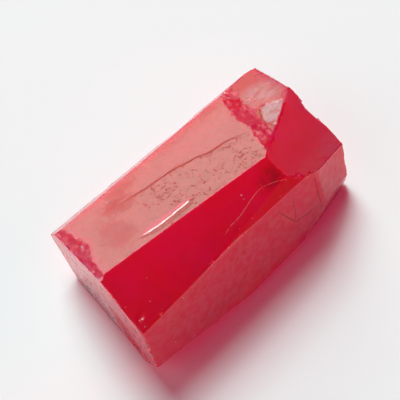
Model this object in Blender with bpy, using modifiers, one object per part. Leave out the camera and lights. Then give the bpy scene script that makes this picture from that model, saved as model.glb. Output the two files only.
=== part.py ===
"""Rough ruby: one natural corundum crystal, a worn prism with one flat end and one broken end.

The crystal lies along X. Each flat face is a cut through a block, given by its roll about X
(0 faces up, 90 faces +Y), its lean towards +X, and its distance from the crystal's heart.
The broken end has a lower floor, split off flat. The scalloped wall behind it, the chips along
the edges and the pits are bowls scooped out of the prism.
"""

import math
import random
from typing import NamedTuple

import bmesh
import bpy
from mathutils import Matrix, Vector, noise

NODE_NAME = "ruby_crystal"
MM = 0.001

# The stone's colour and polish
RUBY_RED = (0.55, 0.02, 0.06, 1.0)
RUBY_ROUGHNESS = 0.22
RUBY_IOR = 1.77

# Driving dimensions, in millimetres
BLOCK_SIZE = 60.0
HEART_HEIGHT = 7.0
CUT_TOLERANCE = 0.001
EDGE_WEAR = 0.22
EDGE_WEAR_STEPS = 2
# Edges that turn by more degrees than this are worn
EDGE_WEAR_ANGLE = 6


class Facet(NamedTuple):
    """A flat crystal face: roll and lean in degrees, distance from the heart in millimetres."""

    roll: float
    lean: float
    distance: float

    def normal(self):
        roll = math.radians(self.roll)
        lean = math.radians(self.lean)
        across = math.cos(lean)
        return Vector((math.sin(lean), across * math.sin(roll), across * math.cos(roll)))

    def frame(self):
        """Directions along the crystal, across it and out of the face."""
        out = self.normal()
        across = out.cross(Vector((1.0, 0.0, 0.0))).normalized()
        along = across.cross(out)
        return along, across, out


FACETS = {
    # Long prism faces, in turn about the crystal's length
    "upper_back": Facet(22, 0, 6.6),
    "upper_front": Facet(-14, -1.5, 8.4),
    "front_edge": Facet(-47, 2, 10.2),
    "shoulder": Facet(-50, 5, 10.1),
    "front": Facet(-79, 5, 9.0),
    "under_front_left": Facet(-126, -4, 11.55),
    "under_front_right": Facet(-126, 6, 11.5),
    "bottom": Facet(180, 0, HEART_HEIGHT),
    "under_back_left": Facet(116, -2, 9.45),
    "under_back_right": Facet(116, 0, 9.45),
    "back": Facet(60, -2.5, 9.6),
    # The flat end, which overhangs a little
    "flat_end": Facet(150, -82, 15.9),
    # The broken end
    "break_top": Facet(-12, 27, 11.5),
    "break_front": Facet(-77, 22, 12.4),
    "break_low": Facet(-82, 20, 12.4),
    "break_rim": Facet(-96, 16, 12.1),
    "tip": Facet(0, 88, 19.9),
    "tip_front": Facet(-38, 72, 20.25),
}


class Floor(NamedTuple):
    """A flat floor split off the broken end: it starts along X and its back edge is turned."""

    face: Facet
    start: float
    turn: float


FLOORS = {
    "break_back": Floor(Facet(22, 6, 7.4), 11.7, -13),
}
FLOOR_CUT_LENGTH = 20.0
FLOOR_CUT_WIDTH = 40.0
FLOOR_CUT_HEIGHT = 8.0


class Chip(NamedTuple):
    """A bowl broken out of one face, or out of the edge where two faces meet, in millimetres.

    On a face, along and across place it from the point nearest the heart. On an edge, along
    runs down the edge from its point nearest the heart, and across isn't used.
    """

    faces: tuple
    along: float
    across: float
    length: float
    width: float
    depth: float
    turn: float = 0.0


CHIPS = {
    # The scalloped wall across the crystal, between the long face and the broken end's floor
    "wall_1": Chip(("upper_back",), 14.3, 7.6, 4.8, 3.2, 0.66, 12),
    "wall_2": Chip(("upper_back",), 13.9, 5.2, 4.8, 3.2, 0.63, -14),
    "wall_3": Chip(("upper_back",), 13.2, 2.9, 4.8, 3.2, 0.58, 10),
    "wall_4": Chip(("upper_back",), 12.9, 0.6, 4.6, 2.8, 0.54, -18),
    "wall_5": Chip(("upper_back",), 12.3, -1.3, 4.4, 3.0, 0.48, 15),
    "wall_6": Chip(("upper_back",), 11.6, -3.3, 3.6, 2.6, 0.42, -10),
    # Broken places on the other ridges of the broken end
    "break_spall": Chip(("break_top", "shoulder"), 7.4, 0.0, 2.6, 1.4, 0.30),
    "break_notch": Chip(("front", "break_top"), -8.2, 0.0, 1.6, 1.2, 0.25),
    "tip_spall": Chip(("back", "tip"), 7.0, 0.0, 2.6, 2.0, 0.35),
    # Chips along the flat end
    "end_back_1": Chip(("upper_back", "flat_end"), -4.4, 0.0, 2.0, 1.8, 0.35),
    "end_back_2": Chip(("upper_back", "flat_end"), -2.6, 0.0, 2.6, 2.0, 0.40),
    "end_back_3": Chip(("upper_back", "flat_end"), -0.4, 0.0, 2.4, 1.8, 0.38),
    "end_back_4": Chip(("upper_back", "flat_end"), 1.7, 0.0, 2.4, 1.7, 0.35),
    "end_back_5": Chip(("upper_back", "flat_end"), 4.0, 0.0, 1.8, 1.3, 0.25),
    "end_front_1": Chip(("upper_front",), -16.0, -6.3, 1.5, 1.0, 0.20, 40),
    "end_front_2": Chip(("upper_front", "flat_end"), 3.4, 0.0, 1.2, 0.9, 0.18),
    # The long shallow flake beside the ridge between the two upper faces
    "ridge_flake": Chip(("upper_back",), -5.8, -3.4, 9.0, 1.2, 0.16, -1),
    # Large shallow breaks on the sides and the underside
    "back_spall": Chip(("back", "under_back_left"), -6.0, 0.0, 9.0, 4.0, 0.80),
    "back_nick": Chip(("back", "under_back_right"), 6.5, 0.0, 4.0, 2.0, 0.40),
    "back_dent": Chip(("under_back_right",), 7.0, 1.0, 6.0, 4.0, 0.45, 30),
    "front_dent": Chip(("under_front_left",), -7.0, 0.0, 6.5, 3.6, 0.45, -15),
    "under_spall": Chip(("under_front_right", "bottom"), 5.0, 0.0, 5.0, 2.6, 0.60),
    "low_spall": Chip(("break_front", "tip_front"), 2.0, 0.0, 2.6, 1.8, 0.35),
    # Shell-shaped breaks on the tip, where along runs down, and one on the flat end
    "tip_shell_1": Chip(("tip",), 1.6, 4.6, 8.5, 7.0, 0.45, 25),
    "tip_shell_2": Chip(("tip",), 3.0, -1.8, 9.0, 7.5, 0.50, -30),
    "tip_shell_3": Chip(("tip",), -2.0, 0.6, 5.5, 5.0, 0.35, 10),
    "tip_shell_4": Chip(("tip",), 5.2, 3.4, 6.0, 5.0, 0.40, 70),
    "tip_shell_5": Chip(("tip", "bottom"), -6.0, 0.0, 5.0, 3.6, 0.70),
    "end_shell": Chip(("flat_end",), -2.0, 5.5, 7.5, 4.5, 0.22, 65),
}

# Small pits, scattered over each face in turn
PIT_COUNTS = {
    "upper_back": 14,
    "upper_front": 5,
    "front": 9,
    "back": 8,
    "under_back_left": 5,
    "under_back_right": 5,
    "under_front_left": 4,
    "under_front_right": 4,
    "flat_end": 6,
    "break_top": 5,
}
PIT_WIDTH = (0.35, 0.75)
PIT_DEPTH = (0.10, 0.20)
PIT_SPREAD_ALONG = 13.0
PIT_SPREAD_ACROSS = 5.0
PIT_SEED = 41

# A pit's length over its width, and its turn on the face in degrees
PIT_STRETCH = (1.0, 1.8)
PIT_TURN = (0.0, 180.0)

# A bowl is the end of an egg this many times deeper than the bowl
BOWL_EGG_RATIO = 3.0
CHIP_UNEVENNESS = 0.20
UNEVENNESS_SCALE = 1.7
# How finely the eggs are divided, by the size of the chip
LARGE_CHIP_LENGTH = 3.5
LARGE_CHIP_FINENESS = 3
CHIP_FINENESS = 2
PIT_FINENESS = 1


def clear_scene():
    for old in list(bpy.data.objects):
        bpy.data.objects.remove(old, do_unlink=True)


def new_collection(name):
    collection = bpy.data.collections.new(name)
    bpy.context.scene.collection.children.link(collection)
    return collection


def ruby_material():
    material = bpy.data.materials.new("ruby")
    material.use_nodes = True
    surface = material.node_tree.nodes["Principled BSDF"]
    surface.inputs["Base Color"].default_value = RUBY_RED
    surface.inputs["Roughness"].default_value = RUBY_ROUGHNESS
    surface.inputs["Metallic"].default_value = 0.0
    surface.inputs["IOR"].default_value = RUBY_IOR
    material.diffuse_color = RUBY_RED
    return material


def heart():
    return Vector((0.0, 0.0, HEART_HEIGHT))


def cut_face(mesh, facet):
    """Cuts away what lies outside a facet and closes the cut with a flat face."""
    out = facet.normal()
    point = (heart() + out * facet.distance) * MM
    geometry = mesh.verts[:] + mesh.edges[:] + mesh.faces[:]
    cut = bmesh.ops.bisect_plane(
        mesh, geom=geometry, dist=CUT_TOLERANCE * MM, plane_co=point, plane_no=out, clear_outer=True
    )
    rim = [item for item in cut["geom_cut"] if isinstance(item, bmesh.types.BMEdge)]
    bmesh.ops.holes_fill(mesh, edges=rim)


def build_prism(collection, material):
    """The crystal's flat faces, with the sharp edges worn round."""
    mesh = bmesh.new()
    bmesh.ops.create_cube(mesh, size=BLOCK_SIZE * MM)
    for facet in FACETS.values():
        cut_face(mesh, facet)
    bmesh.ops.recalc_face_normals(mesh, faces=mesh.faces)
    data = bpy.data.meshes.new(NODE_NAME)
    mesh.to_mesh(data)
    mesh.free()
    crystal = bpy.data.objects.new(NODE_NAME, data)
    collection.objects.link(crystal)
    data.materials.append(material)

    wear = crystal.modifiers.new("worn edges", "BEVEL")
    wear.width = EDGE_WEAR * MM
    wear.segments = EDGE_WEAR_STEPS
    wear.limit_method = "ANGLE"
    wear.angle_limit = math.radians(EDGE_WEAR_ANGLE)
    return crystal


def point_on_face(facet, along, across):
    along_way, across_way, out = facet.frame()
    return heart() + out * facet.distance + along_way * along + across_way * across


def point_on_edge(first, second, along):
    """A place on the edge where two faces meet, measured from its point nearest the heart."""
    edge_way = first.normal().cross(second.normal()).normalized()
    rows = Matrix((first.normal(), second.normal(), edge_way))
    return heart() + rows.inverted() @ Vector((first.distance, second.distance, along))


def chip_frame(chip):
    """The middle of a chip's mouth and its directions along, across and out."""
    faces = [FACETS[name] for name in chip.faces]
    if len(faces) == 1:
        along, across, out = faces[0].frame()
        return point_on_face(faces[0], chip.along, chip.across), along, across, out
    out = (faces[0].normal() + faces[1].normal()).normalized()
    along = faces[0].normal().cross(faces[1].normal()).normalized()
    point = point_on_edge(faces[0], faces[1], chip.along)
    return point, along, out.cross(along), out


def keep_as_cutter(item, collection):
    for home in list(item.users_collection):
        home.objects.unlink(item)
    collection.objects.link(item)
    item.hide_render = True
    item.display_type = "WIRE"


def add_floor_cuts(cutters):
    """Blocks whose undersides are the floors of the broken end."""
    for name, floor in FLOORS.items():
        bpy.ops.mesh.primitive_cube_add(size=1.0)
        block = bpy.context.object
        block.name = f"{name}_floor_cut"
        axes = Matrix(floor.face.frame()).transposed().to_4x4()
        turn = Matrix.Rotation(math.radians(floor.turn), 4, "Z")
        size = Vector((FLOOR_CUT_LENGTH, FLOOR_CUT_WIDTH, FLOOR_CUT_HEIGHT)) * MM
        half = Matrix.Translation((size.x / 2.0, 0.0, size.z / 2.0))
        start = Matrix.Translation(point_on_face(floor.face, floor.start, 0.0) * MM)
        block.matrix_world = start @ axes @ turn @ half @ Matrix.Diagonal((*size, 1.0))
        keep_as_cutter(block, cutters)


def add_bowl(collection, name, frame, chip, fineness):
    """A rough egg, whose end scoops out a bowl of the chip's length, width and depth."""
    point, along, across, out = frame
    egg_height = chip.depth * BOWL_EGG_RATIO
    mouth_share = math.sqrt(1.0 - (1.0 - 1.0 / BOWL_EGG_RATIO) ** 2)
    half_length = chip.length / 2.0 / mouth_share
    half_width = chip.width / 2.0 / mouth_share

    bpy.ops.mesh.primitive_ico_sphere_add(subdivisions=fineness, radius=1.0)
    bowl = bpy.context.object
    bowl.name = name
    for vert in bowl.data.vertices:
        wobble = noise.noise(vert.co * UNEVENNESS_SCALE + point)
        vert.co *= 1.0 + CHIP_UNEVENNESS * wobble
    axes = Matrix((along, across, out)).transposed().to_4x4()
    turn = Matrix.Rotation(math.radians(chip.turn), 4, "Z")
    scale = Matrix.Diagonal((half_length * MM, half_width * MM, egg_height * MM, 1.0))
    middle = (point + out * (egg_height - chip.depth)) * MM
    bowl.matrix_world = Matrix.Translation(middle) @ axes @ turn @ scale
    keep_as_cutter(bowl, collection)


def add_chips(cutters):
    for name, chip in CHIPS.items():
        fineness = LARGE_CHIP_FINENESS if chip.length > LARGE_CHIP_LENGTH else CHIP_FINENESS
        add_bowl(cutters, name, chip_frame(chip), chip, fineness)


def add_pits(cutters):
    """Small pits at seeded places on the faces."""
    chance = random.Random(PIT_SEED)
    for name, count in PIT_COUNTS.items():
        for number in range(count):
            along = chance.uniform(-PIT_SPREAD_ALONG, PIT_SPREAD_ALONG)
            across = chance.uniform(-PIT_SPREAD_ACROSS, PIT_SPREAD_ACROSS)
            width = chance.uniform(*PIT_WIDTH)
            length = width * chance.uniform(*PIT_STRETCH)
            depth = chance.uniform(*PIT_DEPTH)
            turn = chance.uniform(*PIT_TURN)
            pit = Chip((name,), along, across, length, width, depth, turn)
            add_bowl(cutters, f"{name}_pit_{number + 1}", chip_frame(pit), pit, PIT_FINENESS)


def carve(crystal, cutters):
    cut = crystal.modifiers.new("chips and pits", "BOOLEAN")
    cut.operation = "DIFFERENCE"
    cut.solver = "EXACT"
    cut.operand_type = "COLLECTION"
    cut.collection = cutters


def stand_on_origin(crystal, cutters):
    """Puts the middle of the stone's footprint box over the origin."""
    bpy.context.view_layer.update()
    shape = crystal.evaluated_get(bpy.context.evaluated_depsgraph_get())
    corners = [Vector(corner) for corner in shape.bound_box]
    low = Vector([min(corner[axis] for corner in corners) for axis in range(3)])
    high = Vector([max(corner[axis] for corner in corners) for axis in range(3)])
    move = Vector((-(low.x + high.x) / 2.0, -(low.y + high.y) / 2.0, -low.z))
    for item in [crystal, *cutters.objects]:
        item.matrix_world = Matrix.Translation(move) @ item.matrix_world


def main():
    clear_scene()
    parts = new_collection("rough_ruby")
    cutters = new_collection("cutters")
    crystal = build_prism(parts, ruby_material())
    add_floor_cuts(cutters)
    add_chips(cutters)
    add_pits(cutters)
    carve(crystal, cutters)
    stand_on_origin(crystal, cutters)


if __name__ == "__main__":
    main()
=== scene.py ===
"""Rough ruby: the crystal's finished surface, its studio floor, lights and camera."""

import math
from typing import NamedTuple

import bmesh
import bpy
import numpy as np
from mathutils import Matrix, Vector, noise


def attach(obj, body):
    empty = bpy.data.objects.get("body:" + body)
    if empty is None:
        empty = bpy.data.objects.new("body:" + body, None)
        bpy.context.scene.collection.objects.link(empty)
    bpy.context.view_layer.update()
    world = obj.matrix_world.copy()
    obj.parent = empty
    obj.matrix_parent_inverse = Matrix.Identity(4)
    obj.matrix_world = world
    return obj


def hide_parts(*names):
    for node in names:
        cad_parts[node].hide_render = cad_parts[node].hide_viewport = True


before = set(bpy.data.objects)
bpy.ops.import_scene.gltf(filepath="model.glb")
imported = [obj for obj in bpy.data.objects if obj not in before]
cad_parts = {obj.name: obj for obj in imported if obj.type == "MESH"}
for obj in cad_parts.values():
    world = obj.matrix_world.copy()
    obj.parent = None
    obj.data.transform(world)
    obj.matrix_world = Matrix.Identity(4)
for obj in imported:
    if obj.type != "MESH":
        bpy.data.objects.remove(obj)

bl_info = {
    "name": "Rough Ruby",
    "version": (1, 0, 0),
    "blender": (4, 5, 0),
    "location": "View3D > Sidebar > Ruby",
    "description": "Builds a rough ruby crystal around its packed model, with a studio stage",
    "category": "Add Mesh",
}

MM = 0.001
NODE_NAME = "ruby_crystal"
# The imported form's doubled points are joined when they are this near
MERGE_DISTANCE = 0.001 * MM
# The point that the flat faces' distances are measured from, in millimetres
HEART = Vector((-1.369, -0.031, 7.0))
# A point lies on a flat face that is this near, if their normals agree this well
FACE_REACH = 0.05
FACE_ALIGNMENT = math.cos(math.radians(7.0))


class Facet(NamedTuple):
    """A flat crystal face: roll and lean in degrees, distance from the heart in millimetres."""

    roll: float
    lean: float
    distance: float

    def frame(self):
        """Directions along the crystal, across it and out of the face."""
        roll = math.radians(self.roll)
        lean = math.radians(self.lean)
        flat = math.cos(lean)
        out = Vector((math.sin(lean), flat * math.sin(roll), flat * math.cos(roll)))
        across = out.cross(Vector((1.0, 0.0, 0.0))).normalized()
        return across.cross(out), across, out


FACETS = {
    "upper_back": Facet(22, 0, 6.6),
    "upper_front": Facet(-14, -1.5, 8.4),
    "front_edge": Facet(-47, 2, 10.2),
    "shoulder": Facet(-50, 5, 10.1),
    "front": Facet(-79, 5, 9.0),
    "under_front_left": Facet(-126, -4, 11.55),
    "under_front_right": Facet(-126, 6, 11.5),
    "bottom": Facet(180, 0, 7.0),
    "under_back_left": Facet(116, -2, 9.45),
    "under_back_right": Facet(116, 0, 9.45),
    "back": Facet(60, -2.5, 9.6),
    "flat_end": Facet(150, -82, 15.9),
    "break_top": Facet(-12, 27, 11.5),
    "break_front": Facet(-77, 22, 12.4),
    "break_low": Facet(-82, 20, 12.4),
    "break_rim": Facet(-96, 16, 12.1),
    "tip": Facet(0, 88, 19.9),
    "tip_front": Facet(-38, 72, 20.25),
    "break_back": Facet(22, 6, 7.4),
}
OUTER_FACES = [name for name in FACETS if name != "break_back"]
# How rough the flat faces are where they aren't as clear as the others
FACE_ROUGHNESS = {
    "upper_back": 0.16, "front": 0.68, "shoulder": 0.22, "front_edge": 0.22, "break_front": 0.5,
    "break_low": 0.5, "tip": 0.45, "tip_front": 0.5, "flat_end": 0.3, "break_back": 0.2, "break_rim": 0.3,
    "under_front_left": 0.5, "under_front_right": 0.5, "bottom": 0.6, "break_top": 0.34,
}
CLEAR_ROUGHNESS = 0.15
BROKEN_ROUGHNESS = 0.4
WALL_ROUGHNESS = 0.2


class Crack(NamedTuple):
    """A thin crack on a flat face, through points given along and across it, in millimetres."""

    face: str
    width: float
    depth: float
    points: tuple


CRACKS = {
    "long_crack": Crack("upper_back", 0.055, 0.05, (
        (10.35, -0.3), (9.25, 0.15), (7.25, 0.95), (5.8, 1.0), (4.55, 1.2), (3.25, 1.9), (2.2, 2.05),
        (1.1, 2.4), (-0.1, 2.65), (-1.2, 2.75), (-2.3, 2.8), (-4.05, 2.9), (-5.3, 3.15), (-6.4, 3.2),
        (-7.75, 3.45), (-8.4, 3.55),
    )),
    "front_crack": Crack("front", 0.07, 0.04, (
        (12.3, -3.15), (11.2, -2.8), (10.05, -2.6), (8.8, -2.2), (7.85, -2.05), (7.1, -0.75),
        (6.2, 0.9), (5.3, 2.45),
    )),
    "front_branch": Crack("front", 0.05, 0.03, ((7.9, 2.95), (7.85, 1.35), (7.95, -0.25), (7.85, -1.9))),
    "front_step": Crack("front", 0.07, 0.05, (
        (11.75, 4.0), (11.9, 2.3), (12.15, 0.05), (12.5, -2.7), (12.6, -5.65),
    )),
}
# Painted glints: pale lines painted along the upper front face's cracks, where they catch the light
PAINTED_GLINT_CRACKS = {
    "painted_glint_crack": Crack("upper_front", 0.05, 0.03, (
        (5.7, -3.3), (4.75, -3.35), (3.4, -3.7), (2.3, -4.05), (1.25, -4.35), (0.5, -4.45),
        (-0.35, -4.55), (-1.5, -4.9),
    )),
    "painted_glint_branch": Crack("upper_front", 0.03, 0.02, (
        (5.7, -3.3), (6.55, -3.5), (7.55, -3.8), (8.6, -4.3), (9.5, -4.6), (11.0, -5.3),
    )),
}

# The wall down from the upper back face to the broken end: its rim and foot, along and across that face
WALL_RIM = (
    (12.6, 9.0), (12.6, 8.4), (12.25, 7.2), (11.9, 6.1), (11.45, 5.0), (11.05, 3.9), (10.85, 2.4),
    (10.8, 1.2), (10.8, 0.2), (10.45, -0.95), (9.9, -2.55), (9.5, -3.9), (9.05, -5.05),
)
WALL_FOOT = (
    (13.7, 8.6), (14.15, 7.6), (14.3, 6.25), (13.8, 5.2), (13.25, 4.0), (12.95, 2.45), (12.8, 0.9),
    (12.6, -0.6), (12.35, -2.1), (11.4, -3.5), (10.25, -4.85),
)
# The broken band of the same face beside the flat end
END_RIM = (
    (-15.3, 7.2), (-15.15, 6.0), (-15.1, 5.0), (-15.0, 3.5), (-14.8, 2.4), (-14.7, 1.1), (-15.3, 0.2),
    (-15.7, -0.6), (-15.9, -1.65), (-16.1, -2.5), (-16.45, -3.8), (-16.6, -4.75),
)
END_BAND_SLOPE = 0.35
# The long flake beside the ridge: its sharp upper lip and the far side of its hollow
FLAKE_LIP = ((-10.2, -3.25), (-8.6, -3.35), (-6.9, -3.5), (-5.3, -3.5), (-3.6, -3.4), (-1.6, -3.35))
FLAKE_WIDTH = 0.95
# Depth of the hollow, from its lip to its far side
FLAKE_PROFILE = (
    (0.0, 0.0), (0.24, 0.08), (0.38, 0.085), (0.55, 0.05), (0.72, 0.065), (0.85, 0.02), (1.0, 0.0),
)
# The pale flake on the lower floor of the broken end, its whitish streaks a painted highlight: its corners
# along and across that face
PALE_FLAKE = ((12.3, -0.2), (12.6, -1.7), (17.1, 1.25), (15.5, 2.55), (13.9, 2.75), (12.6, 0.9))
PALE_FLAKE_DEPTH = 0.12


class Step(NamedTuple):
    """A soft step of a value: start below low, end above high."""

    low: float
    high: float
    start: float = 0.0
    end: float = 1.0


class Ground(NamedTuple):
    """Ground on the upper back face: ranges along it, across it and over it, in millimetres."""

    along: tuple
    across: tuple
    height: tuple

    def holds(self, *place):
        inside = [(values > low) & (values < high) for values, (low, high) in zip(place, self)]
        return np.logical_and.reduce(inside)


WALL_GROUND = Ground((7.5, 15.5), (-5.2, 9.2), (-1.6, 0.3))
END_GROUND = Ground((-math.inf, -13.5), (-5.6, 7.5), (-1.2, 1.2))
FLAKE_GROUND = Ground((-10.8, -0.8), (-5.0, -2.7), (-0.35, 0.1))
# The wall goes down at least this far
WALL_LEAST_DEPTH = 0.25
# The broken band stays this far inside the flat end, and reaches this far over its rim
END_MARGIN = 0.03
END_RIM_SHIFT = 0.3
# Ground deeper than this beside the band isn't laid back on the face
END_FACE_DEPTH = 0.45
# The flake grows from nothing over these ranges along the face, the second one measured backwards
FLAKE_GROWS = Step(-10.6, -7.6)
FLAKE_SHRINKS = Step(0.6, 3.2)
FLAKE_END_WIDTH = 0.3
# How far in from its outline the pale flake reaches its depth, and how far the outline strays
PALE_FLAKE_EDGE = Step(0.0, 0.12)
PALE_FLAKE_JAG = 0.12
# The pale flake's floor lies at this share of its depth, with ripples of the second share
PALE_FLOOR_SHARE = 0.75
PALE_RIPPLE_SHARE = 0.25


class RoughGround(NamedTuple):
    """Rough ground: its height in millimetres, its hills for each millimetre, its seed and its detail."""

    height: float
    scale: float
    seed: int
    detail: int = 3


WALL_JAG = (RoughGround(0.28, 0.9, 1),)
END_JAG = (RoughGround(0.25, 1.3, 2), RoughGround(0.2, 3.5, 5))
# The settings give the heights of the faces' slow waves and of the broken ground
SWELL = RoughGround(1.0, 0.16, 3, 2)
FRACTURE = RoughGround(1.0, 1.6, 4, 4)
# A seed moves the noise by this much, and each finer layer of it is this much weaker and denser
SEED_STEPS = (7.3, 3.1, 5.7)
NOISE_FALL = 0.8
NOISE_GROWTH = 2.0

# How often the ground between the faces is smoothed, and the flake's ground divided
SMOOTHING_ROUNDS = 4
FLAKE_DIVISIONS = 2
# Points this near to two outer faces are brought to the edge between them, or onto the nearer face
# where the edge is further off than the second length
EDGE_REACH = 0.24
EDGE_SNAP = 0.14
# Chipped ground turns from worn to broken between these depths under the outer faces
CHIP_DEPTHS = Step(0.05, 0.25)
# A moved point stays at least this deep under the outer faces
LEAST_COVER = 0.02
# The broken end's corner is broken down to this depth
CORNER_DEPTH = 0.4
SHARP_ANGLE = math.radians(24.0)
# Further than any point of the stone, in millimetres
FAR = 99.0

# A crack marks points this near to its face and to its line, with a groove about this wide
CRACK_FACE_REACH = 0.3
CRACK_NEARNESS = 0.6
GROOVE_WIDTH = 0.16
# Distances to cracks are kept in widths, up to this many
CRACK_REACH = 6.0
# A crack's width at its tips, as a share, and how fast it grows from there
CRACK_TIP_WIDTH = 0.25
CRACK_GROWTH = 4.0
# Points further from a line than this count as this far from it, in millimetres
LINE_REACH = 9.0


class Spot(NamedTuple):
    """A soft round patch on a flat face: its middle and radii in millimetres, and its strength."""

    face: str
    along: float
    across: float
    radius_along: float
    radius_across: float
    strength: float = 1.0


# The patch is full up to the first share of its radius and gone at the second, and stays near its face
SPOT_FADE = Step(0.3, 1.0, 1.0, 0.0)
SPOT_REACH = 0.4
BROKEN_CORNER = Spot("break_back", 18.2, 1.2, 1.5, 1.5)
# A painted reflection: a pale patch on the broken end's floor
PAINTED_REFLECTION_SPOT = Spot("break_back", 16.0, 4.9, 4.2, 3.0, 0.6)
# Painted glow: soft orange patches where light shines out of the stone
PAINTED_GLOW_SPOTS = (
    Spot("upper_back", -8.0, 3.4, 3.4, 2.2),
    Spot("upper_back", -6.3, 5.6, 3.6, 1.6, 0.8),
    Spot("upper_back", -11.0, -0.3, 3.2, 4.2, 0.6),
    Spot("break_back", 13.5, 8.5, 7.0, 5.0, 0.6),
)
WINE_SPOT = Spot("upper_front", 8.9, -3.2, 5.0, 2.8)


# Whitish ground: on the flat end, paler towards +Y, and on the broken end's rim, both painted reflections
# of the lit floor, and beside the break's front face
PAINTED_END_REFLECTION = Step(-8.0, 0.0, 0.0, 0.9)
PAINTED_RIM_REFLECTION = 0.4
PALE_EDGE = Step(0.3, 3.0, 1.0, 0.0)
PALE_EDGE_SHARE = 0.1
# Haze, with a painted sheen standing in for reflected light, grows inwards from the end band, from the
# back face and from the tip
HAZE_AND_SHEEN_FROM_END = Step(0.1, 1.6, 0.35)
HAZE_AND_SHEEN_FROM_BACK = Step(0.1, 0.8, 0.4)
HAZE_AND_SHEEN_FROM_TIP = Step(0.2, 1.6, 0.0, 0.8)
# Tan haze lies in front of the long crack and grows away from the flat end
TAN_AT_CRACK = Step(-0.5, 0.1, 1.0, 0.0)
TAN_ALONG = Step(-9.0, -3.0)
# A painted glow along the upper back face's back edge
PAINTED_GLOW_EDGE = Step(5.0, 8.0, 0.0, 0.7)
WINE_EDGE = Step(0.0, 7.0, 0.0, 0.55)


class Clouds(NamedTuple):
    """Noise in a material: the size of its clouds in millimetres, its detail and its roughness."""

    size: float
    detail: float = 3.0
    roughness: float = 0.5


SLOW_CLOUDS = Clouds(5.0)
MOTTLE_CLOUDS = Clouds(1.1, 4.0, 0.6)
GRAIN_CLOUDS = Clouds(0.3, 3.0, 0.65)
STREAK_CLOUDS = Clouds(0.9, 4.0, 0.6)
WANDER_CLOUDS = Clouds(0.4)
PAINTED_GLINT_CLOUDS = Clouds(0.5, 2.0)
PIT_CLOUDS = Clouds(2.2)
SPLINTER_CLOUDS = Clouds(0.45, 5.0, 0.65)
STREAK_STRETCH = (0.35, 1.6, 1.0)
# How much cracks wander, in their own widths
WANDER = 3.0


LINE_STEP = Step(0.6, 1.3, 1.0, 0.0)
NEAR_STEP = Step(0.2, 0.4)
PAINTED_GLINT_STEP = Step(0.36, 0.5)
FILM_STEP = Step(0.3, 1.0)
GLOW_STEP = Step(0.3, 0.65, 0.4, 1.1)
PIT_STEP = Step(0.4, 0.62)
PIT_RIM_STEP = Step(0.0, 0.3)
CLEAR_STEP = Step(0.35, 0.65)
WINE_STEP = Step(0.3, 0.6, 0.55, 1.0)
CLOUDY_STEP = Step(0.1, 0.95)
MATTE_STEP = Step(0.3, 0.5)
STREAK_STEP = Step(0.34, 0.52, 0.25, 1.0)
SHINE_STEP = Step(0.3, 0.75, 0.85, 1.35)
PIT_RELIEF_STEP = Step(0.0, 0.6, -1.0, -0.3)


class Pits(NamedTuple):
    """Round pits in a material: their spacing in millimetres, and their sizes as shares of it."""

    spacing: float
    smallest: float
    largest: float


PITS = Pits(0.35, 0.24, 0.5)
SPECKS = Pits(0.24, 0.3, 0.55)
FLECKS_AND_SPARKLES = Pits(0.5, 0.12, 0.3)
# How often pits, specks and flecks come on each kind of ground; the flecks are crushed stone and painted
# sparkles
PITS_ON_CLEAR = 0.004
PITS_ON_TAN = 0.6
PITS_ON_PALE = 0.08
PITS_BETWEEN_CLUSTERS = 0.3
SPECKS_ON_HAZE = 0.28
FLECKS_ON_CLEAR = 0.005
FLECKS_ON_BROKEN = 0.16
FLECKS_ON_WORN = 0.3
# How much the grain and the mottle break up the film of haze and painted sheen
FILM_GRAIN = 0.4
FILM_MOTTLE = 0.9
# How much of each colour shows where its share is full
CLOUDY_SHARE = 0.85
GLOW_SHARE = 0.85
DARK_SHARE = 0.85
SPECK_SHARE = 0.6
# The roughness of pits and cracks, and how far the glowing ground takes it on
DARK_ROUGHNESS = 0.85
GLOW_ROUGH_SHARE = 0.6
# The height of the material's relief in metres, and its parts as shares of that
RELIEF_HEIGHT = 0.04 * MM
GRAIN_RELIEF = 0.18
MOTTLE_RELIEF = 0.25
SPLINTER_RELIEF = 0.6
# Pale ground has this share of the broken ground's splinters
PALE_SPLINTERS = 0.5

STONE_INPUTS = {
    "IOR": 1.77,
    "Subsurface Weight": 1.0,
    "Subsurface Radius": (1.0, 0.01, 0.02),
    "Subsurface Scale": 60.0 * MM,
    "Subsurface Anisotropy": 0.8,
    "Transmission Weight": 0.3,
    # The emission is the ruby's red fluorescence and a painted glow that lifts its red as if more light
    # shone through it
    "Emission Color": (1.0, 0.0, 0.06, 1.0),
}
ABSORPTION_INPUTS = {"Color": (0.95, 0.0, 0.05, 1.0), "Density": 300.0}


class Lamp(NamedTuple):
    """A lamp aimed at the stone: azimuth and elevation in degrees, and its sides in metres."""

    azimuth: float
    elevation: float
    width: float
    height: float


LAMP_DISTANCE = 4.0
KEY_LAMP = Lamp(80.0, 59.0, 1.4, 2.0)
BACK_SOFTBOX = Lamp(70.0, 28.0, 2.3, 2.1)
SIDE_SOFTBOX = Lamp(165.0, 35.0, 4.0, 2.8)
GLINT_LAMP = Lamp(56.0, 54.0, 0.5, 0.5)
RED_FRONT_LAMP = Lamp(-50.0, 30.0, 2.0, 2.0)
WHITE = (1.0, 1.0, 1.0)
WARM_WHITE = (1.0, 0.97, 0.92)
RED = (1.0, 0.0, 0.04)

CAMERA_TARGET = Vector((0.33, 1.57, 7.0)) * MM
SENSOR_WIDTH = 36.0
NEAREST_SEEN = 0.01
FURTHEST_SEEN = 20.0


# Settings

def number_setting(name, description, default, least=0.0, **options):
    return bpy.props.FloatProperty(
        name=name, description=description, default=default, min=least, **options,
    )


def colour_setting(name, description, default):
    return bpy.props.FloatVectorProperty(
        name=name, description=description, default=default, min=0.0, max=1.0, subtype="COLOR",
    )


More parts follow.
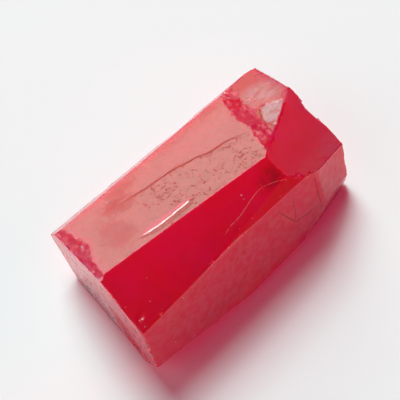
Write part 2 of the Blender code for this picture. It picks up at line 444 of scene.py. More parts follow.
class StageSettings(bpy.types.PropertyGroup):
    """The floor, the lights and the camera."""

    floor_size: number_setting("Floor size", "Side of the floor sheet", 6.0, 0.5, unit="LENGTH")
    floor_colour: colour_setting("Floor colour", "Pale paper of the floor", (0.90, 0.90, 0.905))
    key_glow: number_setting("Key light", "Brightness of the main lamp's face", 15.0)
    key_colour: colour_setting(
        "Key colour", "Colour of the main lamp, which makes up for the red front lamp", (0.88, 1.0, 1.0),
    )
    back_glow: number_setting("Back softbox", "Brightness of the softbox behind the stone", 2.6)
    glint_glow: number_setting(
        "Glint light", "Brightness of the small lamp that the long flake mirrors", 22.0,
    )
    front_glow: number_setting(
        "Red front light", "Brightness of the red lamp that brings out the stone's glow", 1.9,
    )
    side_glow: number_setting("Side softbox", "Brightness of the softbox at the flat end", 0.8)
    room_glow: number_setting("Room light", "Brightness of the dim room", 0.03)
    through_colour: colour_setting(
        "Light through the stone", "The part of the main lamp's light that the stone lets through",
        (0.24, 0.0, 0.045),
    )
    camera_azimuth: number_setting(
        "Camera azimuth", "Where the camera stands round the stone", math.radians(-42.0), -math.pi,
        subtype="ANGLE",
    )
    camera_elevation: number_setting(
        "Camera elevation", "How steeply the camera looks down", math.radians(60.0), subtype="ANGLE",
    )
    camera_distance: number_setting(
        "Camera distance", "From the camera to the point it looks at", 0.194, 0.01, unit="LENGTH",
    )
    camera_lens: number_setting("Camera lens", "Focal length of the lens in millimetres", 140.0, 10.0)


class CrystalSettings(bpy.types.PropertyGroup):
    """The crystal's surface and colours."""

    mesh_step: number_setting("Mesh step", "Distance between mesh points, in millimetres", 0.19, 0.08)
    swell: number_setting("Swell", "Height of the faces' slow waves, in millimetres", 0.02)
    fracture: number_setting(
        "Fracture", "Height of the rough ground in broken places, in millimetres", 0.05,
    )
    body_colour: colour_setting("Body colour", "Red of the clear stone", (0.99, 0.002, 0.09))
    deep_colour: colour_setting("Deep colour", "Red of the stone's darker clouds", (0.93, 0.002, 0.06))
    # The silk and tan colours are a hazy skin with part of the faces' reflected light painted into it as a
    # sheen
    silk_and_sheen_colour: colour_setting("Silk colour", "Pink of the hazy upper back face", (0.56, 0.06, 0.045))
    tan_and_sheen_colour: colour_setting(
        "Tan colour", "Greyer tan of the hazy face in front of its crack", (0.50, 0.075, 0.03),
    )
    # The glow colour is a painted glow of light shining out of the stone
    painted_glow_colour: colour_setting(
        "Glow colour", "Orange-red where light shines out near the back edge", (0.56, 0.02, 0.008),
    )
    wine_colour: colour_setting(
        "Wine colour", "Dark red at the broken end of the upper front face", (0.34, 0.002, 0.03),
    )
    # Emission: the ruby's fluorescence and a painted glow of light shining through the stone
    fluorescence_and_painted_glow: number_setting(
        "Fluorescence", "Red light that the stone gives out by itself, as rubies do", 0.04,
    )
    cloud_colour: colour_setting(
        "Cloud colour", "Deeper red clouds on the matte faces", (0.92, 0.008, 0.12),
    )
    # The pale colour paints reflections and highlights on the flake, the flat end and the broken end
    pale_and_reflection_colour: colour_setting(
        "Pale flake colour", "Whitish pink of the flake on the broken end", (0.95, 0.46, 0.46),
    )
    # The fleck colour is crushed stone and painted sparkles
    fleck_colour: colour_setting(
        "Fleck colour", "Pale crushed specks in the broken places", (1.0, 0.45, 0.46),
    )
    crack_colour: colour_setting("Crack colour", "Dark red of the cracks and pits", (0.32, 0.008, 0.010))
    # The gold colour is a painted glint along the upper front face's crack
    painted_glint_colour: colour_setting(
        "Gold colour", "Pale glint along the crack of the upper front face", (1.0, 0.26, 0.22),
    )


def add_object(name, data):
    item = bpy.data.objects.new(name, data)
    bpy.context.scene.collection.objects.link(item)
    return item


# Crystal mesh

def remeshed_copy(node, step):
    """An even mesh over a node's form, with points about one step apart."""
    shape = bmesh.new()
    shape.from_mesh(node.data)
    bmesh.ops.remove_doubles(shape, verts=shape.verts, dist=MERGE_DISTANCE)
    data = bpy.data.meshes.new("plain_form")
    shape.to_mesh(data)
    shape.free()
    plain = add_object("plain_form", data)
    remesh = plain.modifiers.new("even mesh", "REMESH")
    remesh.mode = "VOXEL"
    remesh.voxel_size = step
    remesh.adaptivity = 0.0
    ready = plain.evaluated_get(bpy.context.evaluated_depsgraph_get())
    even = bpy.data.meshes.new_from_object(ready)
    bpy.data.objects.remove(plain)
    bpy.data.meshes.remove(data)
    return even


def get_points(data):
    """A mesh's points, in millimetres."""
    flat = np.empty(len(data.vertices) * 3)
    data.vertices.foreach_get("co", flat)
    return flat.reshape(-1, 3) / MM


def set_points(data, points):
    data.vertices.foreach_set("co", (points * MM).ravel())
    data.update()


def get_normals(data):
    flat = np.empty(len(data.vertices) * 3)
    data.vertex_normals.foreach_get("vector", flat)
    return flat.reshape(-1, 3)


def face_coordinates(points, name):
    """Each point's place along and across a flat face, and its height over it, in millimetres."""
    facet = FACETS[name]
    along_way, across_way, out = (np.array(way) for way in facet.frame())
    away = points - np.array(HEART)
    return away @ along_way, away @ across_way, away @ out - facet.distance


def out_of(name):
    """The direction out of a flat face."""
    return np.array(FACETS[name].frame()[2])


def nearest_faces(points, normals):
    """For each point, the number of the flat face it lies on, or -1, and its height over it."""
    numbers = np.full(len(points), -1)
    heights = np.full(len(points), FACE_REACH)
    for number, name in enumerate(FACETS):
        height = face_coordinates(points, name)[2]
        out = out_of(name)
        lies = (np.abs(height) < np.abs(heights)) & (normals @ out > FACE_ALIGNMENT)
        numbers[lies] = number
        heights[lies] = height[lies]
    return numbers, heights


def on_face(numbers, name):
    return numbers == list(FACETS).index(name)


def hull_heights(points):
    """Each point's height over every outer face, one column for each face."""
    return np.column_stack([face_coordinates(points, name)[2] for name in OUTER_FACES])


def depth_under_hull(points, left_out=None):
    """How deep each point lies under the outer faces, in millimetres, one of which may be left out."""
    heights = hull_heights(points)
    if left_out in OUTER_FACES:
        heights[:, OUTER_FACES.index(left_out)] = -FAR
    return -heights.max(axis=1)


def sharpen_edges(points, loose, reach, snap):
    """Brings loose points near the outer edges back to them, and others onto their nearest face."""
    ways = np.array([out_of(name) for name in OUTER_FACES])
    heights = hull_heights(points)
    order = np.argsort(np.abs(heights), axis=1)
    for place in np.flatnonzero(loose):
        first, second, third = order[place, :3]
        near = np.abs(heights[place, [first, second, third]])
        if near[1] > reach:
            continue
        rows = [first, second] if near[2] > reach else [first, second, third]
        shift = np.linalg.pinv(ways[rows]) @ heights[place, rows]
        if np.linalg.norm(shift) > snap:
            shift = ways[first] * heights[place, first]
        points[place] -= shift


def smooth_between(data, between, rounds):
    """Rounds the ground between the flat faces, which stay as they are."""
    shape = bmesh.new()
    shape.from_mesh(data)
    shape.verts.ensure_lookup_table()
    chosen = [shape.verts[index] for index in np.flatnonzero(between)]
    for _ in range(rounds):
        bmesh.ops.smooth_vert(
            shape, verts=chosen, factor=0.5,
            use_axis_x=True, use_axis_y=True, use_axis_z=True,
        )
    shape.to_mesh(data)
    shape.free()


def refine(data, chosen, rounds):
    """Divides the ground around the chosen points finer."""
    shape = bmesh.new()
    shape.from_mesh(data)
    shape.verts.ensure_lookup_table()
    verts = {shape.verts[index] for index in np.flatnonzero(chosen)}
    for _ in range(rounds):
        edges = [edge for edge in shape.edges if edge.verts[0] in verts and edge.verts[1] in verts]
        grown = bmesh.ops.subdivide_edges(shape, edges=edges, cuts=1, use_grid_fill=True)
        verts.update(item for item in grown["geom_inner"] if isinstance(item, bmesh.types.BMVert))
    # Faces with many corners are divided from their own middles, because triangles cut along a shared
    # side can come out twice
    bmesh.ops.poke(shape, faces=[face for face in shape.faces if len(face.verts) > 4])
    shape.to_mesh(data)
    shape.free()


def lay_over_face(points, name, chosen, heights):
    """Puts the chosen points at new heights over a flat face, where that is inside the stone."""
    out = out_of(name)
    now = face_coordinates(points, name)[2]
    moved = points[chosen] + np.outer((heights - now)[chosen], out)
    inside = depth_under_hull(moved, name) > LEAST_COVER
    places = np.flatnonzero(chosen)[inside]
    points[places] = moved[inside]
    laid = np.zeros(len(points), bool)
    laid[places] = True
    return laid


def height_of_face(along, across, base, name):
    """The height of one flat face over another, at places along and across the other."""
    along_way, across_way, out = (np.array(way) for way in FACETS[base].frame())
    other = out_of(name)
    flat = np.outer(along, along_way) + np.outer(across, across_way) + FACETS[base].distance * out
    return (FACETS[name].distance - flat @ other) / (out @ other)


def curve_at(across, line):
    """A line's place along the face for each place across it."""
    rows = sorted(line, key=lambda row: row[1])
    return np.interp(across, [row[1] for row in rows], [row[0] for row in rows])


def curve_across(along, line):
    """A line's place across the face for each place along it."""
    rows = sorted(line)
    return np.interp(along, [row[0] for row in rows], [row[1] for row in rows])


def noise_at(points, kind):
    """Soft noise from -1 to 1 with the hills, seed and detail of a kind of rough ground."""
    shift = Vector([kind.seed * step for step in SEED_STEPS])
    return np.array([
        noise.fractal(Vector(point) * kind.scale + shift, NOISE_FALL, NOISE_GROWTH, kind.detail)
        for point in points
    ])


def jag_at(points, near, kinds):
    """How far a broken edge strays at each point of its ground, in millimetres."""
    jag = np.zeros(len(points))
    jag[near] = sum(kind.height * noise_at(points[near], kind) for kind in kinds)
    return jag


def stepped(values, step):
    """Numbers turned into a soft step."""
    share = np.clip((values - step.low) / (step.high - step.low), 0.0, 1.0)
    return step.start + (step.end - step.start) * (share * share * (3.0 - 2.0 * share))


def carve_wall(points):
    """Steps the upper back face down to the broken end: returns the points on the wall and on the face."""
    along, across, height = face_coordinates(points, "upper_back")
    near = WALL_GROUND.holds(along, across, height)
    jag = jag_at(points, near, WALL_JAG)
    rim = curve_at(across, WALL_RIM) + jag
    foot = curve_at(across, WALL_FOOT) + jag
    floor = np.minimum(
        height_of_face(foot, across, "upper_back", "break_back"),
        height_of_face(foot, across, "upper_back", "break_top"),
    )
    share = np.clip((along - rim) / (foot - rim), 0.0, 1.0)
    slope = np.minimum(floor, -WALL_LEAST_DEPTH) * share
    wall = lay_over_face(points, "upper_back", near & (along > rim) & (along < foot), slope)
    face = lay_over_face(points, "upper_back", near & (along <= rim), np.zeros(len(points)))
    return wall, face


def carve_end_band(points):
    """Breaks the upper back face away beside the flat end: returns the points on the band and the face."""
    along, across, height = face_coordinates(points, "upper_back")
    near = END_GROUND.holds(along, across, height)
    near &= face_coordinates(points, "flat_end")[2] < -END_MARGIN
    past = curve_at(across, END_RIM) + END_RIM_SHIFT + jag_at(points, near, END_JAG) - along
    drop = -END_BAND_SLOPE * np.clip(past, 0.0, None)
    band = lay_over_face(points, "upper_back", near & (past > 0.0), drop)
    shallow = near & (past <= 0.0) & (height > -END_FACE_DEPTH)
    face = lay_over_face(points, "upper_back", shallow, np.zeros(len(points)))
    return band, face


def near_flake(points):
    """The ground around the long flake."""
    return FLAKE_GROUND.holds(*face_coordinates(points, "upper_back"))


def carve_flake(points):
    """The long hollow beside the ridge, with a sharp upper lip and a thin step along its far side."""
    along, across, _ = face_coordinates(points, "upper_back")
    lip = curve_across(along, FLAKE_LIP)
    ends = stepped(along, FLAKE_GROWS) * stepped(-along, FLAKE_SHRINKS)
    width = FLAKE_WIDTH * (FLAKE_END_WIDTH + (1.0 - FLAKE_END_WIDTH) * ends)
    share = np.clip((lip - across) / width, 0.0, 1.0)
    hollow = -ends * np.interp(share, *zip(*FLAKE_PROFILE))
    laid = lay_over_face(points, "upper_back", near_flake(points), hollow)
    return laid & (share > 0.0) & (share < 1.0) & (ends > 0.0)


def depth_in_outline(along, across, corners):
    """How far inside an outline that bulges outwards each place lies, in millimetres."""
    depth = np.full(len(along), FAR)
    for (x0, y0), (x1, y1) in zip(corners, corners[1:] + corners[:1]):
        dx, dy = x1 - x0, y1 - y0
        depth = np.minimum(depth, (dx * (across - y0) - dy * (along - x0)) / math.hypot(dx, dy))
    return depth


def carve_pale_flake(points, numbers):
    """The shallow flake on the broken end's floor, and how much each point belongs to it."""
    along, across, _ = face_coordinates(points, "break_back")
    jag = PALE_FLAKE_JAG * np.sin(5.0 * along) * np.sin(4.0 * across + 1.0)
    depth = depth_in_outline(along, across, PALE_FLAKE) + jag
    share = stepped(depth, PALE_FLAKE_EDGE) * on_face(numbers, "break_back")
    ripple = np.sin(9.0 * (across - 0.5 * along))
    hollow = -PALE_FLAKE_DEPTH * share * (PALE_FLOOR_SHARE + PALE_RIPPLE_SHARE * ripple)
    lay_over_face(points, "break_back", share > 0.0, hollow)
    return share


def line_distance(along, across, line):
    """Distance to a line, with a minus sign on its right side, and how far on it lies."""
    best = np.full(len(along), LINE_REACH)
    side = np.ones(len(along))
    on = np.zeros(len(along))
    travelled = 0.0
    for (x0, y0), (x1, y1) in zip(line, line[1:]):
        dx, dy = x1 - x0, y1 - y0
        length = math.hypot(dx, dy)
        share = np.clip(((along - x0) * dx + (across - y0) * dy) / length**2, 0.0, 1.0)
        away = np.hypot(along - x0 - share * dx, across - y0 - share * dy)
        closer = away < best
        best = np.where(closer, away, best)
        cross = dx * (across - y0) - dy * (along - x0)
        side = np.where(closer, np.where(cross < 0.0, -1.0, 1.0), side)
        on = np.where(closer, travelled + share * length, on)
        travelled += length
    return best * side, on / travelled


def crack_values(points, cracks):
    """For each point: signed distance to the nearest crack over its width, its nearness, its groove."""
    signed = np.full(len(points), CRACK_REACH)
    near = np.zeros(len(points))
    grooves = np.zeros(len(points))
    for crack in cracks.values():
        along, across, height = face_coordinates(points, crack.face)
        chosen = np.flatnonzero(np.abs(height) < CRACK_FACE_REACH)
        distance, on = line_distance(along[chosen], across[chosen], crack.points)
        from_tip = np.minimum(on, 1.0 - on)
        taper = np.clip(CRACK_GROWTH * from_tip + CRACK_TIP_WIDTH, CRACK_TIP_WIDTH, 1.0)
        relative = distance / (crack.width * taper)
        closeness = np.clip(1.0 - np.abs(distance) / CRACK_NEARNESS, 0.0, 1.0)
        take = closeness > near[chosen]
        signed[chosen[take]] = np.clip(relative[take], -CRACK_REACH, CRACK_REACH)
        near[chosen[take]] = closeness[take]
        groove = -crack.depth * taper * np.exp(-((distance / GROOVE_WIDTH) ** 2))
        grooves[chosen] = np.minimum(grooves[chosen], groove)
    return signed, near, grooves


def spot_values(points, spot):
    """A spot's share at each point near its face, from its strength in the middle to 0 outside."""
    along, across, height = face_coordinates(points, spot.face)
    away = np.hypot((along - spot.along) / spot.radius_along, (across - spot.across) / spot.radius_across)
    return spot.strength * np.where(np.abs(height) < SPOT_REACH, stepped(away, SPOT_FADE), 0.0)


def spot_on_face(points, numbers, spot):
    return spot_values(points, spot) * on_face(numbers, spot.face)


def pale_and_reflection_values(points, numbers, flake):
    """Whitish places, mostly painted reflections and highlights: the flake, a soft patch beside it, the
    flat end, and two edges of the broken end.
    """
    patch = spot_on_face(points, numbers, PAINTED_REFLECTION_SPOT)
    end = stepped(points[:, 1], PAINTED_END_REFLECTION) * on_face(numbers, "flat_end")
    rim = PAINTED_RIM_REFLECTION * on_face(numbers, "break_rim")
    from_front = -face_coordinates(points, "break_front")[2]
    edge = PALE_EDGE_SHARE * stepped(from_front, PALE_EDGE) * on_face(numbers, "break_top")
    return np.maximum.reduce([flake, patch, end, rim, edge])


def haze_and_sheen_values(points, numbers):
    """How hazy the stone's mirror-bright upper faces are, with a painted sheen of reflected light: pink
    haze and tan haze.
    """
    along, across, _ = face_coordinates(points, "upper_back")
    hazy_sheen = on_face(numbers, "upper_back").astype(float)
    hazy_sheen *= stepped(along - curve_at(across, END_RIM), HAZE_AND_SHEEN_FROM_END)
    hazy_sheen *= stepped(-face_coordinates(points, "back")[2], HAZE_AND_SHEEN_FROM_BACK)
    from_crack = across - curve_across(along, CRACKS["long_crack"].points)
    tan = hazy_sheen * stepped(from_crack, TAN_AT_CRACK) * stepped(along, TAN_ALONG)
    inside = stepped(-face_coordinates(points, "tip")[2], HAZE_AND_SHEEN_FROM_TIP)
    hazy_sheen = np.maximum(hazy_sheen, inside * on_face(numbers, "break_back"))
    return hazy_sheen, tan


def painted_glow_values(points, numbers):
    """Where orange light shines out, painted into the colour as a glow: along the back edge and in soft
    patches.
    """
    across = face_coordinates(points, "upper_back")[1]
    edge = stepped(across, PAINTED_GLOW_EDGE) * on_face(numbers, "upper_back")
    return np.maximum.reduce([edge] + [spot_on_face(points, numbers, spot) for spot in PAINTED_GLOW_SPOTS])


def wine_values(points, numbers):
    """Where the stone turns wine-dark: the broken end of the upper front face and the edge below it."""
    below = on_face(numbers, "shoulder") | on_face(numbers, "front_edge")
    edge = stepped(points[:, 0], WINE_EDGE) * below
    return np.maximum(spot_on_face(points, numbers, WINE_SPOT), edge)


def roughness_values(numbers, broken, wall):
    """How rough each point's ground is: its flat face's own value, or the broken ground's."""
    roughness = np.full(len(numbers), CLEAR_ROUGHNESS)
    for name, value in FACE_ROUGHNESS.items():
        roughness[on_face(numbers, name)] = value
    roughness = np.where(broken > 0.5, BROKEN_ROUGHNESS, roughness)
    roughness[wall] = WALL_ROUGHNESS
    return roughness


def settle_on_faces(data):
    """Puts the points near each flat face onto it, and rounds and sharpens what lies between.

    Returns the points.
    """
    points = get_points(data)
    numbers, heights = nearest_faces(points, get_normals(data))
    ways = np.array([out_of(name) for name in FACETS])
    flat = numbers >= 0
    points[flat] -= ways[numbers[flat]] * heights[flat, None]
    set_points(data, points)
    smooth_between(data, ~flat, SMOOTHING_ROUNDS)
    points = get_points(data)
    sharpen_edges(points, ~flat, EDGE_REACH, EDGE_SNAP)
    set_points(data, points)
    return points


def carve_ground(points, numbers):
    """Carves the broken places and the flakes: returns the broken, worn and pale shares, the pale one a
    painted highlight, and the wall.
    """
    wall, face_by_wall = carve_wall(points)
    band, face_by_band = carve_end_band(points)
    flake = carve_flake(points)
    pale_and_reflection = carve_pale_flake(points, numbers)
    upper_back = list(FACETS).index("upper_back")
    numbers[face_by_wall | face_by_band] = upper_back
    numbers[wall | band] = -1
    chipped = (numbers < 0) & ~wall & ~band & ~flake
    numbers[flake] = upper_back
    depths = depth_under_hull(points)
    deep = stepped(depths, CHIP_DEPTHS)
    corner = (spot_values(points, BROKEN_CORNER) > 0.0) & (depths < CORNER_DEPTH)
    broken = np.maximum(wall | band | corner, np.where(chipped, deep, 0.0))
    worn = np.where(chipped, 1.0 - deep, 0.0)
    return broken, worn, pale_and_reflection, wall


def add_relief(data, points, broken, grooves, settings):
    """Adds the faces' slow waves, the cracks' grooves and the broken ground's relief."""
    height = settings.swell * noise_at(points, SWELL) + grooves
    rough = np.flatnonzero(broken > 0.0)
    height[rough] += settings.fracture * broken[rough] * noise_at(points[rough], FRACTURE)
    points += get_normals(data) * height[:, None]
    set_points(data, points)


def keep_values(data, name, values):
    values = np.asarray(values, dtype=np.float32)
    kind, field = ("FLOAT", "value") if values.ndim == 1 else ("FLOAT_VECTOR", "vector")
    data.attributes.new(name, kind, "POINT").data.foreach_set(field, values.ravel())


def build_crystal(settings):
    even = remeshed_copy(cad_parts[NODE_NAME], settings.mesh_step * MM)
    points = settle_on_faces(even)
    refine(even, near_flake(points), FLAKE_DIVISIONS)
    points = get_points(even)
    numbers = nearest_faces(points, get_normals(even))[0]
    broken, worn, pale_and_reflection, wall = carve_ground(points, numbers)
    set_points(even, points)
    cracks = crack_values(points, CRACKS)
    painted_glint = crack_values(points, PAINTED_GLINT_CRACKS)
    add_relief(even, points, broken, np.minimum(cracks[2], painted_glint[2]), settings)

    even.name = "ruby_crystal_surface"
    for polygon in even.polygons:
        polygon.use_smooth = True
    even.set_sharp_from_angle(angle=SHARP_ANGLE)
    haze_and_sheen, tan = haze_and_sheen_values(points, numbers)
    attributes = {
        "face_roughness": roughness_values(numbers, broken, wall),
        "broken": broken,
        "worn": worn,
        "pale_and_reflection": pale_and_reflection_values(points, numbers, pale_and_reflection),
        "haze_and_sheen": haze_and_sheen,
        "tan": tan,
        "glow": painted_glow_values(points, numbers),
        "wine": wine_values(points, numbers),
        "crack": np.column_stack(cracks),
        "painted_glint": np.column_stack(painted_glint),
    }
    for name, values in attributes.items():
        keep_values(even, name, values)
    return add_object("ruby_crystal_surface", even)


# Materials

def new_material(name):
    material = bpy.data.materials.new(name)
    material.use_nodes = True
    return material


def add_node(tree, kind, inputs=None, **settings):
    """Adds a shader node, sets its options, and sets or links its inputs."""
    node = tree.nodes.new("ShaderNode" + kind)
    for name, value in settings.items():
        setattr(node, name, value)
    for key, value in (inputs or {}).items():
        if isinstance(value, bpy.types.NodeSocket):
            tree.links.new(value, node.inputs[key])
        else:
            node.inputs[key].default_value = value
    return node


def calc(tree, operation, first, second=0.0):
    return add_node(tree, "Math", {0: first, 1: second}, operation=operation).outputs[0]


def times(tree, first, second):
    return calc(tree, "MULTIPLY", first, second)


def plus(tree, first, second):
    return calc(tree, "ADD", first, second)


def most(tree, first, second):
    return calc(tree, "MAXIMUM", first, second)


def levels(tree, value, step):
    """A shader's value turned into a soft step."""
    inputs = {
        "Value": value, "From Min": step.low, "From Max": step.high,
        "To Min": step.start, "To Max": step.end,
    }
    return add_node(tree, "MapRange", inputs, interpolation_type="SMOOTHSTEP").outputs[0]


def blend(tree, share, first, second):
    """A colour between two, by share."""
    inputs = {0: share, 6: first, 7: second}
    return add_node(tree, "Mix", inputs, data_type="RGBA").outputs[2]


def cloud_value(tree, place, kind):
    """Noise from 0 to 1."""
    inputs = {
        "Vector": place, "Scale": 1.0 / (kind.size * MM),
        "Detail": kind.detail, "Roughness": kind.roughness,
    }
    return add_node(tree, "TexNoise", inputs).outputs["Fac"]


def value_of(tree, name):
    return add_node(tree, "Attribute", attribute_name=name).outputs["Fac"]


def line_mask(tree, name, wobble):
    """1 on the thin lines that an attribute holds as distance over width, 0 off them."""
    vector = add_node(tree, "Attribute", attribute_name=name).outputs["Vector"]
    parts = add_node(tree, "SeparateXYZ", {0: vector})
    away = calc(tree, "ABSOLUTE", plus(tree, parts.outputs[0], wobble))
    line = levels(tree, away, LINE_STEP)
    near = levels(tree, parts.outputs[1], NEAR_STEP)
    return times(tree, line, near)


def pit_mask(tree, place, kind, often):
    """1 in round pits, which are there in a share of places from 0 to 1."""
    cells = add_node(tree, "TexVoronoi", {"Vector": place, "Scale": 1.0 / (kind.spacing * MM)})
    chance = add_node(tree, "SeparateColor", {0: cells.outputs["Color"]})
    there = calc(tree, "LESS_THAN", chance.outputs[0], often)
    size = levels(tree, chance.outputs[1], Step(0.0, 1.0, kind.smallest, kind.largest))
    depth = calc(tree, "SUBTRACT", 1.0, calc(tree, "DIVIDE", cells.outputs["Distance"], size))
    return times(tree, there, levels(tree, depth, PIT_RIM_STEP))


def rgba(colour):
    return (*colour, 1.0)


def add_looks(tree, place):
    """The shares that the ruby's material is mixed from: its ground, clouds, cracks, pits and haze, with
    painted sheen, glow, glints, reflections and sparkles among them.
    """
    names = ("broken", "worn", "pale_and_reflection", "tan", "haze_and_sheen", "glow", "wine", "face_roughness")
    looks = {name: value_of(tree, name) for name in names}
    looks["mottle"] = cloud_value(tree, place, MOTTLE_CLOUDS)
    looks["grain"] = cloud_value(tree, place, GRAIN_CLOUDS)
    wobble = calc(tree, "SUBTRACT", cloud_value(tree, place, WANDER_CLOUDS), 0.5)
    wander = times(tree, wobble, WANDER)
    looks["crack"] = line_mask(tree, "crack", wander)
    # The painted glints show in patches along their cracks
    shown = levels(tree, cloud_value(tree, place, PAINTED_GLINT_CLOUDS), PAINTED_GLINT_STEP)
    looks["painted_glint"] = times(tree, line_mask(tree, "painted_glint", wander), shown)
    looks["pit"] = pit_mask(tree, place, PITS, pit_chance(tree, place, looks))
    looks["speck"] = pit_mask(tree, place, SPECKS, times(tree, looks["haze_and_sheen"], SPECKS_ON_HAZE))
    looks["fleck"] = pit_mask(tree, place, FLECKS_AND_SPARKLES, fleck_chance(tree, looks))
    speckled = most(tree, looks["pit"], times(tree, looks["speck"], SPECK_SHARE))
    looks["dark"] = most(tree, looks["crack"], speckled)
    looks["film"] = film_share(tree, looks)
    looks["glow"] = times(tree, looks["glow"], levels(tree, looks["mottle"], GLOW_STEP))
    return looks


def pit_chance(tree, place, looks):
    """Pits come in clusters, most of all on the tan haze."""
    often = plus(tree, PITS_ON_CLEAR, times(tree, looks["tan"], PITS_ON_TAN))
    often = plus(tree, often, times(tree, looks["pale_and_reflection"], PITS_ON_PALE))
    clusters = levels(tree, cloud_value(tree, place, PIT_CLOUDS), PIT_STEP)
    return times(tree, often, plus(tree, PITS_BETWEEN_CLUSTERS, clusters))


def fleck_chance(tree, looks):
    """Pale flecks, crushed stone and painted sparkles, come on broken and worn ground, and now and then
    elsewhere.
    """
    broken = times(tree, looks["broken"], FLECKS_ON_BROKEN)
    worn = times(tree, looks["worn"], FLECKS_ON_WORN)
    return most(tree, most(tree, broken, worn), FLECKS_ON_CLEAR)


def film_share(tree, looks):
    """The haze with its painted sheen, broken up by its grain and mottle."""
    loose = calc(tree, "SUBTRACT", looks["grain"], 0.5)
    patchy = calc(tree, "SUBTRACT", looks["mottle"], 0.5)
    film = plus(tree, looks["haze_and_sheen"], times(tree, loose, FILM_GRAIN))
    film = plus(tree, film, times(tree, patchy, FILM_MOTTLE))
    return levels(tree, film, FILM_STEP)


def clear_colour(tree, place, looks, settings):
    """The clear stone's red, with its darker clouds, its wine-dark patch and the matte faces' clouds."""
    slow = levels(tree, cloud_value(tree, place, SLOW_CLOUDS), CLEAR_STEP)
    clear = blend(tree, slow, rgba(settings.deep_colour), rgba(settings.body_colour))
    wine = times(tree, looks["wine"], levels(tree, looks["mottle"], WINE_STEP))
    clear = blend(tree, wine, clear, rgba(settings.wine_colour))
    cloudy = levels(tree, looks["mottle"], CLOUDY_STEP)
    cloudy = blend(tree, cloudy, rgba(settings.cloud_colour), clear)
    matte = levels(tree, looks["face_roughness"], MATTE_STEP)
    return blend(tree, times(tree, matte, CLOUDY_SHARE), clear, cloudy)


def stone_colour(tree, place, looks, settings):
    """The clear red under haze with a painted sheen, a painted glow, pale ground with painted reflections
    and highlights, cracks, pits, painted glints and flecks with painted sparkle.
    """
    colour = clear_colour(tree, place, looks, settings)
    # Haze: a hazy skin and a painted sheen of reflected light
    silk = blend(tree, looks["tan"], rgba(settings.silk_and_sheen_colour), rgba(settings.tan_and_sheen_colour))
    colour = blend(tree, looks["film"], colour, silk)
    # Painted glow of light shining out near the back edge
    colour = blend(tree, times(tree, looks["glow"], GLOW_SHARE), colour, rgba(settings.painted_glow_colour))
    stretched = add_node(tree, "Mapping", {"Vector": place, "Scale": STREAK_STRETCH}).outputs[0]
    streaks = levels(tree, cloud_value(tree, stretched, STREAK_CLOUDS), STREAK_STEP)
    # Pale ground: whitish streaks painted as reflections and highlights
    colour = blend(tree, times(tree, looks["pale_and_reflection"], streaks), colour, rgba(settings.pale_and_reflection_colour))
    colour = blend(tree, times(tree, looks["dark"], DARK_SHARE), colour, rgba(settings.crack_colour))
    # Painted glints along the upper front face's cracks
    colour = blend(tree, looks["painted_glint"], colour, rgba(settings.painted_glint_colour))
    # Pale flecks: crushed stone and painted sparkles
    return blend(tree, looks["fleck"], colour, rgba(settings.fleck_colour))


def stone_roughness(tree, looks):
    """Each face's own roughness, mottled, and rougher in pits and cracks and where the glow is."""
    shine = times(tree, looks["face_roughness"], levels(tree, looks["mottle"], SHINE_STEP))
    rough_share = most(tree, looks["dark"], times(tree, looks["glow"], GLOW_ROUGH_SHARE))
    low_part = times(tree, shine, calc(tree, "SUBTRACT", 1.0, rough_share))
    return plus(tree, low_part, times(tree, rough_share, DARK_ROUGHNESS))


def stone_relief(tree, place, looks):
    """The normal of a fine relief: pits, grain, mottle and the splinters of broken and pale ground."""
    relief = times(tree, looks["pit"], levels(tree, looks["pale_and_reflection"], PIT_RELIEF_STEP))
    relief = plus(tree, relief, times(tree, looks["grain"], GRAIN_RELIEF))
    relief = plus(tree, relief, times(tree, looks["mottle"], MOTTLE_RELIEF))
    ground = most(tree, looks["broken"], times(tree, looks["pale_and_reflection"], PALE_SPLINTERS))
    splinters = times(tree, ground, cloud_value(tree, place, SPLINTER_CLOUDS))
    relief = plus(tree, relief, times(tree, splinters, SPLINTER_RELIEF))
    inputs = {"Strength": 1.0, "Distance": RELIEF_HEIGHT, "Height": relief}
    return add_node(tree, "Bump", inputs).outputs["Normal"]


def ruby_material(settings):
    material = new_material("rough_ruby")
    tree = material.node_tree
    surface = tree.nodes["Principled BSDF"]
    place = add_node(tree, "TexCoord").outputs["Object"]
    looks = add_looks(tree, place)
    tree.links.new(stone_colour(tree, place, looks, settings), surface.inputs["Base Color"])
    tree.links.new(stone_roughness(tree, looks), surface.inputs["Roughness"])
    tree.links.new(stone_relief(tree, place, looks), surface.inputs["Normal"])
    for name, value in STONE_INPUTS.items():
        surface.inputs[name].default_value = value
    surface.inputs["Emission Strength"].default_value = settings.fluorescence_and_painted_glow
    absorb = add_node(tree, "VolumeAbsorption", ABSORPTION_INPUTS)
    tree.links.new(absorb.outputs["Volume"], tree.nodes["Material Output"].inputs["Volume"])
    return material


def floor_material(settings):
    material = new_material("pale paper")
    surface = material.node_tree.nodes["Principled BSDF"]
    surface.inputs["Base Color"].default_value = rgba(settings.floor_colour)
    surface.inputs["Roughness"].default_value = 0.9
    surface.inputs["Specular IOR Level"].default_value = 0.0
    return material


# Stage

def build_floor(settings):
    shape = bmesh.new()
    bmesh.ops.create_grid(shape, x_segments=4, y_segments=4, size=settings.floor_size / 2.0)
    data = bpy.data.meshes.new("studio_floor")
    shape.to_mesh(data)
    shape.free()
    floor = add_object("studio_floor", data)
    data.materials.append(floor_material(settings))
    return floor


def compass_way(azimuth, elevation):
    """The direction at an azimuth from +X towards +Y and an elevation above the floor, in degrees."""
    turn = math.radians(azimuth)
    rise = math.radians(elevation)
    return Vector((math.cos(turn) * math.cos(rise), math.sin(turn) * math.cos(rise), math.sin(rise)))


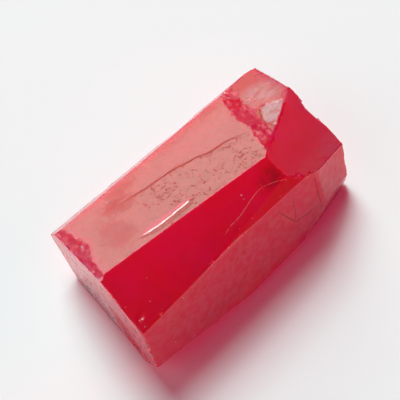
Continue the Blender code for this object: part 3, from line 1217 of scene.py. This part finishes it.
def add_lamp(name, kind, glow, colour):
    """A lamp aimed at the stone, whose face has the given brightness."""
    light = bpy.data.lights.new(name, "AREA")
    light.shape = "RECTANGLE"
    light.size = kind.width
    light.size_y = kind.height
    light.energy = glow * math.pi * (kind.width * kind.height)
    light.color = colour
    lamp = add_object(name, light)
    way = compass_way(kind.azimuth, kind.elevation)
    lamp.location = way * LAMP_DISTANCE
    lamp.rotation_euler = way.to_track_quat("Z", "Y").to_euler()
    lamp.visible_camera = False
    return lamp


def add_key_lamp(settings, floor):
    """The main lamp in two halves: the light that the stone stops, and the red light that passes it."""
    through = tuple(settings.through_colour)
    stopped = tuple(whole - share for whole, share in zip(settings.key_colour, through))
    add_lamp("key_lamp", KEY_LAMP, settings.key_glow, stopped)
    passing = add_lamp("key_lamp_through", KEY_LAMP, settings.key_glow, through)
    blockers = bpy.data.collections.new("blocks_all_light")
    blockers.objects.link(floor)
    passing.light_linking.blocker_collection = blockers


def build_room(glow):
    world = bpy.data.worlds.new("dim_room")
    world.use_nodes = True
    back = world.node_tree.nodes["Background"]
    back.inputs["Color"].default_value = rgba(WHITE)
    back.inputs["Strength"].default_value = glow
    bpy.context.scene.world = world


def build_lights(settings, floor):
    add_key_lamp(settings, floor)
    add_lamp("back_softbox", BACK_SOFTBOX, settings.back_glow, WARM_WHITE)
    add_lamp("side_softbox", SIDE_SOFTBOX, settings.side_glow, WHITE)
    add_lamp("glint_lamp", GLINT_LAMP, settings.glint_glow, WHITE)
    add_lamp("red_front_lamp", RED_FRONT_LAMP, settings.front_glow, RED)
    build_room(settings.room_glow)


def build_camera(settings):
    turn = settings.camera_azimuth
    rise = settings.camera_elevation
    back = Vector((math.sin(turn) * math.cos(rise), -math.cos(turn) * math.cos(rise), math.sin(rise)))
    lens = bpy.data.cameras.new("photo_camera")
    lens.lens = settings.camera_lens
    lens.sensor_width = SENSOR_WIDTH
    lens.clip_start = NEAREST_SEEN
    lens.clip_end = FURTHEST_SEEN
    camera = add_object("photo_camera", lens)
    camera.location = CAMERA_TARGET + back * settings.camera_distance
    camera.rotation_euler = (-back).to_track_quat("-Z", "Y").to_euler()
    bpy.context.scene.camera = camera


# Operators and panel

class RUBY_OT_stage(bpy.types.Operator):
    """Sets up the floor, the lights and the camera"""

    bl_idname = "ruby.stage"
    bl_label = "Stage"

    def execute(self, context):
        settings = context.scene.ruby_stage
        floor = build_floor(settings)
        build_lights(settings, floor)
        build_camera(settings)
        context.scene.view_settings.view_transform = "Standard"
        return {"FINISHED"}


class RUBY_OT_crystal(bpy.types.Operator):
    """Builds the crystal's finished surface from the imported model"""

    bl_idname = "ruby.crystal"
    bl_label = "Crystal"

    def execute(self, context):
        settings = context.scene.ruby_crystal
        stone = build_crystal(settings)
        stone.data.materials.append(ruby_material(settings))
        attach(stone, "root")
        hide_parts(NODE_NAME)
        return {"FINISHED"}


class RUBY_PT_panel(bpy.types.Panel):
    """Lists the ruby's pieces and settings"""

    bl_idname = "RUBY_PT_panel"
    bl_label = "Rough Ruby"
    bl_space_type = "VIEW_3D"
    bl_region_type = "UI"
    bl_category = "Ruby"

    def draw(self, context):
        for title, operator, group in (
            ("Stage", RUBY_OT_stage, context.scene.ruby_stage),
            ("Crystal", RUBY_OT_crystal, context.scene.ruby_crystal),
        ):
            box = self.layout.box()
            box.label(text=title)
            for name in group.__annotations__:
                box.prop(group, name)
            box.operator(operator.bl_idname)


CLASSES = (StageSettings, CrystalSettings, RUBY_OT_stage, RUBY_OT_crystal, RUBY_PT_panel)


def register():
    for item in CLASSES:
        bpy.utils.register_class(item)
    bpy.types.Scene.ruby_stage = bpy.props.PointerProperty(type=StageSettings)
    bpy.types.Scene.ruby_crystal = bpy.props.PointerProperty(type=CrystalSettings)


def unregister():
    del bpy.types.Scene.ruby_crystal
    del bpy.types.Scene.ruby_stage
    for item in reversed(CLASSES):
        bpy.utils.unregister_class(item)


def main():
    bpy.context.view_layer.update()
    register()
    bpy.ops.ruby.stage()
    bpy.ops.ruby.crystal()


if __name__ == "__main__":
    main()
